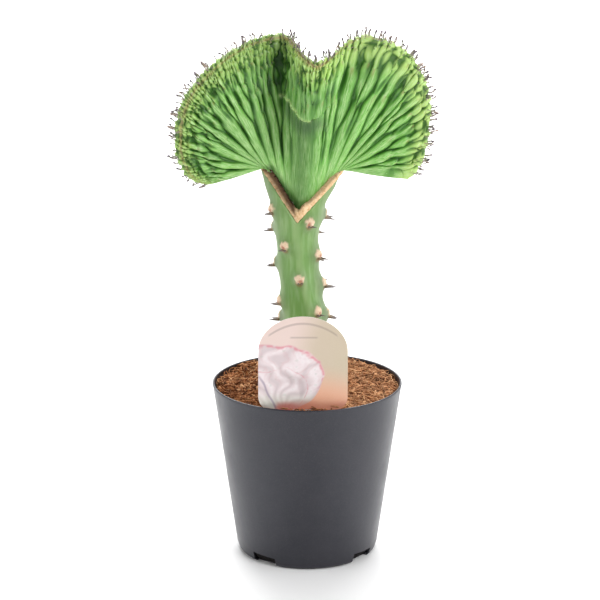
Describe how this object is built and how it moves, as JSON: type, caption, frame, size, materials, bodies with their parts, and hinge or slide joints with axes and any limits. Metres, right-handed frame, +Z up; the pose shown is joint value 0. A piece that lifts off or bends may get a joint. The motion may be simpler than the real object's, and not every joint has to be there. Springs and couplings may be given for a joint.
{
  "type": "potted euphorbia",
  "caption": "Grafted crest euphorbia: a pleated green fan on a spiny upright stem, in a tapered black nursery pot of coir with an arched plant label.",
  "frame": {"origin": "centre of the pot's underside, on the surface it stands on", "axes": "+Z up along the pot's axis; the crest and the label face -Y and the crest spreads along X"},
  "size_m": [0.1393, 0.105, 0.2928],
  "materials": {
    "pot_plastic": "satin",
    "coir": "matte",
    "stem_skin": "satin",
    "callus_cork": "matte",
    "crest_skin": "satin",
    "spine_horn": "satin",
    "label_plastic": "satin"
  },
  "bodies": {
    "root": {"pot": "pot_plastic", "growing_medium": "coir", "rootstock": "stem_skin", "graft_callus": "callus_cork", "crest": "crest_skin", "plant_label": "label_plastic", "spine_pair_01": "spine_horn", "spine_pair_02": "spine_horn", "spine_pair_03": "spine_horn", "spine_pair_04": "spine_horn", "spine_pair_05": "spine_horn", "spine_pair_06": "spine_horn", "spine_pair_07": "spine_horn", "spine_pair_08": "spine_horn", "spine_pair_09": "spine_horn", "spine_pair_10": "spine_horn", "spine_pair_11": "spine_horn", "spine_pair_12": "spine_horn", "spine_pair_13": "spine_horn", "spine_pair_14": "spine_horn", "spine_pair_15": "spine_horn", "spine_pair_16": "spine_horn", "spine_pair_17": "spine_horn", "spine_pair_18": "spine_horn", "spine_pair_19": "spine_horn", "spine_pair_20": "spine_horn"}
  },
  "joints": []
}
